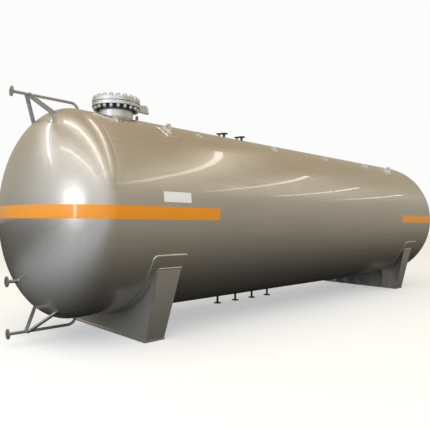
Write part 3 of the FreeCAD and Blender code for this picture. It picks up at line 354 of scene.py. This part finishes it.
def painted_steel(name, colour, metallic=0.82, roughness=0.33, coat=0.8, bump=0.02, banded=False, **spray):
    """Painted plate under a clear coat. With a band, the orange stripe is laid over the colour and the
    plate is drawn in at its seams. Painted shade, near black, can be laid on what faces down, in the share
    asked for."""
    made = bpy.data.materials.new(name)
    made.use_nodes = True
    tree = made.node_tree
    paint = tree.nodes["Principled BSDF"]
    layer = shader(tree, "ShaderNodeGroup", {"Colour": colour, "Roughness": roughness, **spray},
                   node_tree=finish_group)
    paint.inputs["Metallic"].default_value = metallic
    shade = layer.outputs["Colour"]
    if banded:
        band = shader(tree, "ShaderNodeGroup", {"Centre": band_centre, "Half width": band_half,
                                                "Near end": band_near_end, "Far end": band_far_end},
                      node_tree=band_group)
        mask = band.outputs["Mask"]
        shade = blend_of(tree, mask, shade, orange)
        bare = math_of(tree, "SUBTRACT", 1.0, mask)
        tree.links.new(math_of(tree, "MULTIPLY", bare, metallic), paint.inputs["Metallic"])
        # The stripe glows faintly in its own orange: painted light that brightens it.
        tree.links.new(blend_of(tree, mask, (0, 0, 0, 1), orange), paint.inputs["Emission Color"])
        paint.inputs["Emission Strength"].default_value = orange_glow
    elif "Shelter" in spray:
        # Painted shade: where faces point down, metal and coat fall as the colour goes near black.
        unshaded = layer.outputs["Unshaded"]
        tree.links.new(math_of(tree, "MULTIPLY", unshaded, metallic), paint.inputs["Metallic"])
        tree.links.new(math_of(tree, "MULTIPLY", unshaded, coat), paint.inputs["Coat Weight"])
    tree.links.new(shade, paint.inputs["Base Color"])
    tree.links.new(layer.outputs["Roughness"], paint.inputs["Roughness"])
    height = layer.outputs["Height"]
    if banded:
        draw = shader(tree, "ShaderNodeGroup", {"Width": 0.07, "Depth": 0.9}, node_tree=draw_group)
        height = math_of(tree, "ADD", height, draw.outputs["Height"])
    relief = shader(tree, "ShaderNodeBump", {"Strength": 1.0, "Distance": bump, "Height": height})
    tree.links.new(relief.outputs[0], paint.inputs["Normal"])
    paint.inputs["Coat Weight"].default_value = coat
    paint.inputs["Coat Roughness"].default_value = 0.05
    return made


def finish_nodes(material, *names):
    """Gives carried-over CAD nodes their finish."""
    for name in names:
        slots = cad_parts[name].data.materials
        slots.clear()
        slots.append(material)


shell_paint = painted_steel("shell_silver", silver, banded=True, bump=0.0016,
                            Peel=0.05, Waves=1.0, Passes=0.16, Cloud=0.10, Dust=0.12)
finish_nodes(shell_paint, "near_head", "far_head", *(f"shell_course_{i}" for i in range(1, 5)))


# ---- Shell seams ----
# Butt welds between the courses and at the heads: machine-laid beads about two fingers wide that stand a
# little proud, painted over. Each course also has one seam along it, turned to the back of the vessel.

def mesh_piece(name, grid, material, close_path=False, smooth_below=40):
    """Lays surfaces given as an array (copy, path step, profile step, xyz). The profile is a closed loop;
    the path is closed or gets a flat cap at each end. The sign of the volume turns the faces outwards."""
    copies, steps, loop = grid.shape[:3]
    index = np.arange(copies * steps * loop).reshape(copies, steps, loop)
    path = index if close_path else index[:, :-1]
    onward = np.roll(index, -1, axis=1) if close_path else index[:, 1:]
    quads = np.stack([path, onward, np.roll(onward, -1, axis=2), np.roll(path, -1, axis=2)], axis=-1)
    faces = quads.reshape(-1, 4)
    points = grid.reshape(-1, 3)
    corner = points[faces]
    first = np.cross(corner[:, 1] - corner[:, 0], corner[:, 2] - corner[:, 0])
    second = np.cross(corner[:, 2] - corner[:, 0], corner[:, 3] - corner[:, 0])
    inside = points.mean(axis=0)
    volume = ((corner[:, 0] - inside) * (first + second)).sum()
    faces = faces.tolist()
    if not close_path:
        faces += index[:, 0, ::-1].tolist() + index[:, -1].tolist()
    mesh = bpy.data.meshes.new(name)
    mesh.from_pydata(points.tolist(), [], [face[::-1] for face in faces] if volume < 0 else faces)
    mesh.materials.append(material)
    mesh.shade_smooth()
    mesh.set_sharp_from_angle(angle=math.radians(smooth_below))
    piece = bpy.data.objects.new(name, mesh)
    bpy.context.scene.collection.objects.link(piece)
    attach(piece, "root")
    return piece


def carried(place, side, rise, profile):
    """A profile carried along a path: each point is place + across * side + height * rise."""
    across, height = np.asarray(profile, float).T
    return (place[..., None, :] + across[:, None] * side[..., None, :]
            + height[:, None] * rise[..., None, :])


def butt_profile(width, height):
    """Cap of a butt weld: half a cosine wave over its width, with its root just under the plate."""
    across = np.linspace(-0.5, 0.5, 7) * width
    crown = height * np.cos(across / width * math.pi) + 0.0002
    root = -0.001
    return np.vstack([[(-width / 2, root)], np.column_stack([across, crown]), [(width / 2, root)]])


def fillet_profile(leg):
    """Fillet weld: a quarter-round between its two toes that bulges a little past the straight face."""
    turn = np.linspace(0, math.pi / 2, 6)
    straight = leg / (np.cos(turn) + np.sin(turn))
    bulge = straight * (1 + 0.16 * np.sin(2 * turn))
    buried = -0.0008
    return np.vstack([np.column_stack([bulge * np.cos(turn), bulge * np.sin(turn)]), [(buried, buried)]])


def round_shell(angle):
    """Outward direction (0, sine, cosine) at an angle from the crown towards the back."""
    return np.stack([np.zeros_like(angle), np.sin(angle), np.cos(angle)], axis=-1)


def weld_paint(name, colour, band=False):
    """The plate's paint over a rippled bead."""
    return painted_steel(name, colour, banded=band, bump=0.002, roughness=0.34,
                         Peel=0.6, Waves=0.0, Dust=0.05)


seam_paint = weld_paint("seam_silver", silver, band=True)
seam_bead = butt_profile(0.022, 0.0012)
turn = np.linspace(0, 2 * math.pi, 240, endpoint=False)
axis_point = np.array([0, 0, axis_height])
rings = []
for x in seam_places:
    outward = round_shell(turn)
    ring = axis_point + np.array([x, 0, 0]) + shell_radius * outward
    rings.append(carried(ring, np.broadcast_to([1.0, 0, 0], ring.shape), outward, seam_bead))
mesh_piece("ring_seams", np.array(rings), seam_paint, close_path=True)

seam_angles = np.radians([118, 66, 118, 66])
long_seams = []
for number, angle in enumerate(seam_angles, start=1):
    start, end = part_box(f"shell_course_{number}")
    run = np.linspace(start.x, end.x, 60)
    outward = np.broadcast_to(round_shell(np.array(angle)), (60, 3))
    line = axis_point + np.column_stack([run, 0 * run, 0 * run]) + shell_radius * outward
    tangent = np.cross(outward, [1.0, 0, 0])
    long_seams.append(carried(line, tangent, outward, seam_bead))
mesh_piece("long_seams", np.array(long_seams), seam_paint)


# ---- Blank panel ----
# A thin white sheet-metal panel rolled to the shell's round and stuck on above the stripe, behind the near
# head. It is left plain.

panel_near, panel_far = near_tangent + 0.690, near_tangent + 1.171
panel_low, panel_high = 0.153, 0.295      # above the axis
panel_back, panel_face = 0.0002, 0.0022   # off the shell
panel_angle = -math.pi / 2 + np.arcsin(np.linspace(panel_low, panel_high, 10) / shell_radius)
panel_edge = np.concatenate([round_shell(panel_angle) * (shell_radius + panel_face),
                             round_shell(panel_angle[::-1]) * (shell_radius + panel_back)])
panel_run = np.array([[panel_near, 0, 0], [panel_far, 0, 0]])
panel_white = painted_steel("panel_white", (0.93, 0.94, 0.94, 1), metallic=0.0, roughness=0.4, coat=0.4,
                            bump=0.0006, Peel=0.1, Waves=0.3, Dust=0.05)
# The panel glows faintly white: painted light that keeps it bright.
panel_sockets = panel_white.node_tree.nodes["Principled BSDF"].inputs
panel_sockets["Emission Color"].default_value = (1, 1, 1, 1)
panel_sockets["Emission Strength"].default_value = 0.12
mesh_piece("blank_panel", (axis_point + panel_run[:, None] + panel_edge)[None], panel_white)


# ---- Manhole ----
# A forged DN500 weld-neck flange with its blind cover, in brighter silver paint. Twenty plated studs pass
# through both, with a heavy hexagon nut and a few threads standing out at each end.

# The manhole gets painted shade, near black, on every face that points down.
manhole_paint = painted_steel("manhole_silver", (0.68, 0.69, 0.70, 1), metallic=0.9, roughness=0.34,
                              bump=0.003, Peel=0.4, Waves=0.0, Dust=0.15, Shelter=0.9)
finish_nodes(manhole_paint, "manhole_cover", "cover_hinge_strap", "hinge_cheeks", "hinge_pin", "cover_rest")
# The last is how far under the flange the neck's painted shade reaches.
flange_thick, neck_radius, neck_shade_reach = 0.057, 0.265, 0.085
flange_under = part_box("manhole_neck")[1].z - flange_thick


def shaded_neck():
    """The neck is painted near black just under the flange: painted shade, where the flange and the lower
    nuts keep the light off. It fades out over the lower half of its reach."""
    made = manhole_paint.copy()
    made.name = "manhole_neck_silver"
    tree = made.node_tree
    paint = tree.nodes["Principled BSDF"]
    height = place_parts(tree)[2]
    rising = shader(tree, "ShaderNodeMapRange",
                    {0: height, 1: flange_under - neck_shade_reach, 2: flange_under - neck_shade_reach / 2},
                    interpolation_type="SMOOTHSTEP").outputs[0]
    under = math_of(tree, "LESS_THAN", height, flange_under + 0.001)
    neck_shade = math_of(tree, "MULTIPLY", rising, under)
    painted = math_of(tree, "SUBTRACT", 1.0, neck_shade)
    for socket in ("Metallic", "Coat Weight"):
        before = paint.inputs[socket].links[0].from_socket
        tree.links.new(math_of(tree, "MULTIPLY", before, painted), paint.inputs[socket])
    before = paint.inputs["Base Color"].links[0].from_socket
    tree.links.new(blend_of(tree, neck_shade, before, (0.012, 0.012, 0.013, 1)), paint.inputs["Base Color"])
    return made


finish_nodes(shaded_neck(), "manhole_neck")
gasket_fibre = painted_steel("gasket_fibre", (0.045, 0.045, 0.045, 1), metallic=0.0, roughness=0.8,
                             coat=0.0, bump=0.002, Peel=0.8, Waves=0.0, Dust=0.3)
finish_nodes(gasket_fibre, "manhole_gasket")

stud_count, stud_circle, stud_radius = 20, 0.335, 0.0195
nut_flats, nut_height, nut_bevel = 0.062, 0.035, 0.004
stud_end, thread_pitch, thread_depth = 0.014, 0.004, 0.0011
cover_low, cover_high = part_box("manhole_cover")
manhole_middle = (cover_low + cover_high) / 2
stud_turn = (np.arange(stud_count) + 0.5) * 2 * math.pi / stud_count
stud_foot = np.column_stack([manhole_middle.x + stud_circle * np.cos(stud_turn),
                             stud_circle * np.sin(stud_turn), np.zeros(stud_count)])


def turned_grid(heights, radius_at, sides):
    """Surface of (height, angle) about an upright axis: radius_at gives the radius for every pair, and both
    ends close to a point."""
    angle = np.linspace(0, 2 * math.pi, sides, endpoint=False)
    high, around = np.meshgrid(heights, angle, indexing="ij")
    radius = radius_at(high, around)
    radius[[0, -1]] = 1e-5
    return np.stack([radius * np.cos(around), radius * np.sin(around), high], axis=-1)


def nut_radius(high, around):
    """Hexagon: half its flats over the cosine of the angle from the nearest flat's middle, and no more than
    a cone that falls 30 degrees from each face."""
    flat = nut_flats / 2 / np.cos((around + math.pi / 6) % (math.pi / 3) - math.pi / 6)
    from_face = np.minimum(high, nut_height - high)
    return np.minimum(flat, nut_flats / 2 + from_face / math.tan(math.radians(30)))


def thread_radius(high, around):
    """Screw thread: a triangle wave of the height in pitches plus the share of a turn, cut in the stud."""
    phase = (high / thread_pitch + around / (2 * math.pi)) % 1
    return stud_radius - thread_depth * (1 - np.abs(2 * phase - 1))


nut_rise = np.array([0, 0, nut_bevel / 2, nut_bevel])
nut = turned_grid(np.concatenate([nut_rise, nut_height - nut_rise[::-1]]), nut_radius, 36)
nut_bases = np.concatenate([stud_foot + [0, 0, cover_high.z],
                            stud_foot + [0, 0, flange_under - nut_height]])
nut_steel = painted_steel("nut_steel", (0.66, 0.66, 0.64, 1), metallic=0.95, roughness=0.34, coat=0.1,
                          bump=0.002, Peel=0.5, Waves=0.0, Dust=0.2, Cloud=0.2)
mesh_piece("manhole_nuts", nut + nut_bases[:, None, None], nut_steel, smooth_below=25)

stud_low, stud_high = flange_under - nut_height - stud_end, cover_high.z + nut_height + stud_end
threaded = np.arange(0, stud_end + 0.002, thread_pitch / 6)
stud_heights = np.concatenate([[stud_low], stud_low + threaded, stud_high - threaded[::-1], [stud_high]])
stud = turned_grid(stud_heights, thread_radius, 18)
mesh_piece("manhole_studs", stud + stud_foot[:, None, None], nut_steel)


def branch_weld(at, radius, leg, side, steps=72):
    """Fillet where an upright pipe meets the shell: round the pipe, the height off the axis is the root of
    the shell's radius squared less y squared. One toe lies along the shell and one up the pipe."""
    around = np.linspace(0, 2 * math.pi, steps, endpoint=False)
    y = radius * np.sin(around)
    drop = np.sqrt(shell_radius ** 2 - y ** 2)
    place = np.column_stack([at + radius * np.cos(around), y, axis_height + side * drop])
    away = np.column_stack([np.cos(around), np.sin(around), -side * y * np.sin(around) / drop])
    away /= np.linalg.norm(away, axis=1, keepdims=True)
    return carried(place, away, np.broadcast_to([0, 0, float(side)], place.shape), fillet_profile(leg))


# Paint for the fillets, lighter than the plate's: a painted highlight where the beads catch the light.
highlit_weld = weld_paint("weld_highlit_silver", (0.68, 0.66, 0.62, 1))
manhole_weld = branch_weld(manhole_middle.x, neck_radius, 0.020, 1, steps=160)
mesh_piece("manhole_weld", manhole_weld[None], highlit_weld, close_path=True)


# ---- Nozzles ----
# Short pipes with raised-face flanges, dark primer on the crown and under the belly and grey paint on the
# head, each set into the shell with a fillet weld all round.

flange_primer = painted_steel("flange_primer", (0.055, 0.055, 0.055, 1), metallic=0.3, roughness=0.45,
                              coat=0.2, bump=0.002, Peel=0.5, Waves=0.0, Dust=0.35)
top_nozzles = ["top_nozzle_1", "vent_nozzle_1", "top_nozzle_2", "vent_nozzle_2"]
bottom_nozzles = [f"bottom_nozzle_{i}" for i in range(1, 5)]
finish_nodes(flange_primer, *top_nozzles, *bottom_nozzles)
pipe_paint = painted_steel("pipe_silver", (0.40, 0.40, 0.385, 1), metallic=0.75, roughness=0.38, coat=0.4,
                           bump=0.002, Peel=0.4, Waves=0.0, Dust=0.2)
finish_nodes(pipe_paint, "head_nozzle")
main_radius, vent_radius, drain_radius, nozzle_leg = 0.024, 0.017, 0.021, 0.008


def middle_x(name):
    """Place along the vessel of the middle of a node's box."""
    low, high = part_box(name)
    return (low.x + high.x) / 2


nozzle_welds = [branch_weld(middle_x(name), radius, nozzle_leg, side)
                for names, radius, side in ((top_nozzles[::2], main_radius, 1),
                                            (top_nozzles[1::2], vent_radius, 1),
                                            (bottom_nozzles, drain_radius, -1))
                for name in names]
gauge_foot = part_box("upper_gauge_pipe")[1].x - drain_radius
nozzle_welds += [branch_weld(gauge_foot, drain_radius, nozzle_leg, side) for side in (1, -1)]
mesh_piece("nozzle_welds", np.array(nozzle_welds), highlit_weld, close_path=True)

head_nozzle_low, head_nozzle_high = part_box("head_nozzle")
head_nozzle_y = (head_nozzle_low.y + head_nozzle_high.y) / 2
head_nozzle_z = (head_nozzle_low.z + head_nozzle_high.z) / 2


def head_place(y, z):
    """Point of the near head's outside, an ellipsoid: the depth before the tangent line is the head's depth
    times the root of one less the square of the distance off the axis over the shell's radius."""
    depth = head_tip * np.sqrt(1 - (y ** 2 + (z - axis_height) ** 2) / shell_radius ** 2)
    return np.stack([near_tangent - depth, y, z], axis=-1)


def head_normal(place):
    """Outward direction of the ellipsoid: each part of the place over the square of its half axis."""
    slope = (place - [near_tangent, 0, axis_height]) / [head_tip ** 2, shell_radius ** 2, shell_radius ** 2]
    return slope / np.linalg.norm(slope, axis=-1, keepdims=True)


around = np.linspace(0, 2 * math.pi, 72, endpoint=False)
spoke = np.column_stack([0 * around, np.cos(around), np.sin(around)])
foot = head_place(head_nozzle_y + main_radius * spoke[:, 1], head_nozzle_z + main_radius * spoke[:, 2])
outward = head_normal(foot)
away = spoke - outward * (spoke * outward).sum(axis=1, keepdims=True)
away /= np.linalg.norm(away, axis=1, keepdims=True)
head_weld = carried(foot, away, np.broadcast_to([-1.0, 0, 0], foot.shape), fillet_profile(nozzle_leg))
mesh_piece("head_nozzle_weld", head_weld[None], highlit_weld, close_path=True)


# ---- Gauge pipes and stays ----
# Thin steel pipes for the level gauge that leave the shell, bend and run out past the near head, each with
# a small flange and held by two angle-iron stays. All are brushed with the head nozzle's grey-silver paint.

finish_nodes(pipe_paint, *(f"{row}_gauge_{piece}" for row in ("upper", "lower")
                           for piece in ("pipe", "flange", "stays")))


# ---- Lifting lugs and cleats ----
# Four lugs with round eyes stand across the vessel on rolled pads with rounded corners; ten small cleats
# for a platform stand between them. Every foot and pad is welded all round.

lug_paint = painted_steel("lug_silver", (0.70, 0.68, 0.66, 1), metallic=0.6, roughness=0.42, coat=0.4,
                          bump=0.003, Peel=0.5, Waves=0.0, Dust=0.2)
finish_nodes(lug_paint, "near_lifting_lugs", "far_lifting_lugs")
pad_paint = painted_steel("pad_silver", silver, bump=0.002, Peel=0.2, Waves=0.2, Dust=0.12)
finish_nodes(pad_paint, "near_lug_pads", "far_lug_pads", "platform_cleats")


def outline_weld(x, angle, half_along, half_round, corner, leg, radius=shell_radius, steps=120):
    """Fillet round a rounded rectangle that is wrapped on the shell. The outline is walked evenly by its
    own length: four straights, each followed by a quarter circle of the corner's radius. Its second
    measure over the radius is the angle round the vessel."""
    straight = np.array([2 * (half_round - corner), 2 * (half_along - corner)] * 2)
    quarter = corner * math.pi / 2
    legs = np.stack([straight, np.full(4, quarter)], axis=1).ravel()
    ends = np.concatenate([[0], np.cumsum(legs)])
    step = np.linspace(0, ends[-1], steps, endpoint=False)
    part = np.searchsorted(ends, step, side="right") - 1
    into = step - ends[part]
    quadrant = (part // 2) * math.pi / 2
    heading = quadrant + np.where(part % 2 == 1, into / corner, 0)
    normal = np.column_stack([np.cos(heading), np.sin(heading)])
    sign = np.column_stack([np.sign(np.cos(quadrant) - np.sin(quadrant)),
                            np.sign(np.cos(quadrant) + np.sin(quadrant))])
    middle = sign * [half_along - corner, half_round - corner]
    walk = np.column_stack([-np.sin(quadrant), np.cos(quadrant)])
    back = np.where(part % 2 == 0, legs[part] - into, 0)[:, None]
    flat = middle + corner * normal - walk * back
    turn = angle + flat[:, 1] / radius
    outward = round_shell(turn)
    tangent = np.stack([0 * turn, np.cos(turn), -np.sin(turn)], axis=-1)
    place = axis_point + radius * outward + np.column_stack([x + flat[:, 0], 0 * turn, 0 * turn])
    side = normal[:, :1] * [1.0, 0, 0] + normal[:, 1:] * tangent
    return carried(place, side, outward, fillet_profile(leg))


lug_angle, lug_half, lug_thick, lug_corner = math.radians(32.8), 0.235 / 2, 0.028, 0.004
pad_half, pad_wrap, pad_thick, pad_corner = 0.205 / 2, math.radians(14), 0.014, 0.030
lug_leg = 0.012
lug_welds = []
for end in ("near", "far"):
    x = middle_x(f"{end}_lifting_lugs")
    for angle in (-lug_angle, lug_angle):
        lug_welds.append(outline_weld(x, angle, pad_half, shell_radius * pad_wrap / 2, pad_corner, lug_leg))
        lug_welds.append(outline_weld(x, angle, lug_thick / 2, lug_half, lug_corner, lug_leg,
                                      radius=shell_radius + pad_thick))
mesh_piece("lug_welds", np.array(lug_welds), highlit_weld, close_path=True)

cleat_angle, cleat_half, cleat_thick, cleat_corner, cleat_leg = math.radians(30), 0.080, 0.012, 0.002, 0.008
cleat_places = near_tangent + np.array([0.385, 1.974, 3.950, 5.737, 7.549]) + cleat_thick / 2
cleat_welds = [outline_weld(x, angle, cleat_thick / 2, cleat_half, cleat_corner, cleat_leg, steps=64)
               for x in cleat_places for angle in (-cleat_angle, cleat_angle)]
mesh_piece("cleat_welds", np.array(cleat_welds), highlit_weld, close_path=True)


# ---- Saddles ----
# Two supports of steel plate: a base plate, a web near its outer edge, seven ribs and a wear plate rolled
# to the shell, all joined by fillets. They carry a duller coat of silver, the wear plates the shell's own.

saddle_paint = painted_steel("saddle_silver", (0.56, 0.55, 0.53, 1), metallic=0.6, roughness=0.42,
                             coat=0.45, bump=0.002, Peel=0.2, Waves=0.3, Dust=0.2)
for end in ("near", "far"):
    finish_nodes(saddle_paint, *(f"{end}_saddle_{piece}"
                                 for piece in ("base", "web", "inner_ribs", "end_ribs")))
    finish_nodes(pad_paint, f"{end}_saddle_wear_plate")

wear_thick, wear_corner, wear_wrap = 0.012, 0.060, math.radians(135.5)
wear_radius, web_reach = shell_radius + wear_thick, math.radians(58.8)
wear_leg, web_leg, base_leg = 0.014, 0.010, 0.008
rib_edge, rib_taper, bead_lift = 0.0006, 0.104, 0.002
head_bead, foot_bead = butt_profile(0.026, 0.008), butt_profile(0.016, 0.004)
plate_welds, web_welds, rib_welds, base_welds = [], [], [], []
for end, outer in (("near", -1.0), ("far", 1.0)):
    wear_low, wear_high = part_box(f"{end}_saddle_wear_plate")
    half_along = (wear_high.x - wear_low.x) / 2
    plate_welds.append(outline_weld((wear_low.x + wear_high.x) / 2, math.pi, half_along,
                                    shell_radius * wear_wrap / 2, wear_corner, wear_leg, steps=480))
    web_low, web_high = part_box(f"{end}_saddle_web")
    face = web_low.x if outer < 0 else web_high.x
    turn = np.linspace(-1, 1, 120) * web_reach + math.pi
    outward = round_shell(turn)
    arc = axis_point + np.array([face, 0, 0]) + wear_radius * outward
    web_welds.append(carried(arc, np.broadcast_to([outer, 0, 0], arc.shape), outward,
                             fillet_profile(web_leg)))

    rib_low, rib_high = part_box(f"{end}_saddle_end_ribs")
    base_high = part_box(f"{end}_saddle_base")[1]
    head_y, foot_y = rib_high.y, base_high.y - rib_edge
    lean = math.hypot(head_y - foot_y, rib_high.z - base_high.z)
    up, out = (rib_high.z - base_high.z) / lean, (head_y - foot_y) / lean
    foot_low = rib_low.x + (rib_taper if outer > 0 else 0)
    foot_high = rib_high.x - (rib_taper if outer < 0 else 0)
    for side in (-1.0, 1.0):
        across, proud = np.array([0, side * out, up]), np.array([0, side * up, -out])
        for low_x, high_x, y, z, bead in (
                (rib_low.x, rib_high.x, head_y, rib_high.z + bead_lift, head_bead),
                (foot_low, foot_high, foot_y, base_high.z + bead_lift, foot_bead)):
            run = np.linspace(low_x, high_x, 24)
            line = np.column_stack([run, 0 * run + side * y, 0 * run + z])
            rib_welds.append(carried(line, np.broadcast_to(across, line.shape),
                                     np.broadcast_to(proud, line.shape), bead))
    run = np.linspace(-foot_y, foot_y, 24)
    line = np.column_stack([0 * run + face, run, 0 * run + base_high.z])
    base_welds.append(carried(line, np.broadcast_to([outer, 0, 0], line.shape),
                              np.broadcast_to([0, 0, 1.0], line.shape), fillet_profile(base_leg)))
mesh_piece("wear_plate_welds", np.array(plate_welds), highlit_weld, close_path=True)
mesh_piece("web_welds", np.array(web_welds), highlit_weld)
mesh_piece("rib_welds", np.array(rib_welds), highlit_weld)
mesh_piece("base_welds", np.array(base_welds), highlit_weld)
